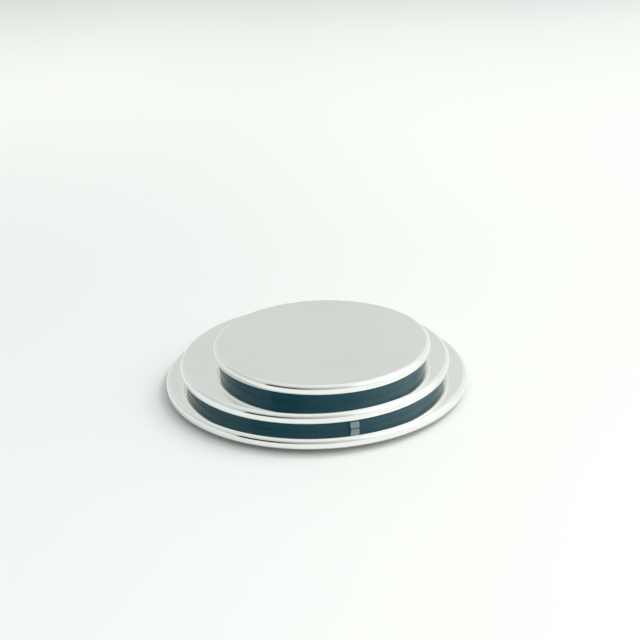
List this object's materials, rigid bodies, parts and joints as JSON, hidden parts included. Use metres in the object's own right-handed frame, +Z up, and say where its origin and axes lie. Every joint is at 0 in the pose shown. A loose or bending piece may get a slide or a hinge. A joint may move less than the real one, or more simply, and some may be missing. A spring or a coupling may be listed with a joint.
{
  "type": "demagnetizer",
  "caption": "Low round puck of stacked polished plates with dark bands between them, a start button in the lower band and a coil under the top plate, for demagnetizing watches.",
  "frame": {"origin": "on the ground, under the centre of the base plate", "axes": "+Z up; -Y is the front, where the start button is; +X is to the right seen from the front"},
  "size_m": [0.075, 0.075, 0.0126],
  "materials": {
    "polished_metal": "mirror polished",
    "satin_metal": "fine satin",
    "dark_band": "gloss, dark blue-green",
    "foot_rubber": "matte",
    "cell_steel": "nickel plated",
    "black_nylon": "moulded",
    "white_nylon": "moulded",
    "contact_nickel": "nickel plated",
    "screw_steel": "plain",
    "board_laminate": "solder mask",
    "capacitor_resin": "moulded",
    "chip_resin": "moulded",
    "ferrite": "sintered",
    "copper_wire": "enamelled",
    "pad_foam": "closed-cell foam",
    "pale_light_guide": "milky, translucent",
    "switch_housing": "moulded",
    "led_lens": "clear epoxy"
  },
  "bodies": {
    "case": {"base_plate": "polished_metal", "foot_pads": "foot_rubber", "coin_cell": "cell_steel", "battery_holder": "black_nylon", "battery_spring": "contact_nickel", "side_contact": "contact_nickel", "lower_band": "dark_band", "middle_plate": "polished_metal", "upper_band": "dark_band", "top_plate": "polished_metal", "case_screws": "screw_steel", "top_screws": "screw_steel", "board_screws": "screw_steel", "coil_screws": "screw_steel", "circuit_board": "board_laminate", "pulse_capacitors": "capacitor_resin", "boost_inductor": "ferrite", "control_chip": "chip_resin", "power_transistors": "chip_resin", "rectifier_diodes": "chip_resin", "chip_resistors": "chip_resin", "coil_connector": "white_nylon", "coil_bobbin": "black_nylon", "coil_winding": "copper_wire", "ferrite_core": "ferrite", "coil_pad": "pad_foam", "coil_leads": "copper_wire", "button_switch": "switch_housing", "status_led": "led_lens"},
    "button": {"start_button": "pale_light_guide", "switch_plunger": "black_nylon"},
    "door": {"battery_door": "satin_metal"}
  },
  "joints": [
    {"name": "start_press", "type": "slide", "parent": "case", "child": "button", "axis": [-0.2571, 0.9664, 0], "range_m": [0, 0.00025], "stiffness_N_per_m": 1500},
    {"name": "door_turn", "type": "hinge", "parent": "case", "child": "door", "pos_m": [0, 0, 0.0016], "axis": [0, 0, -1], "range_deg": [0, 32]}
  ]
}
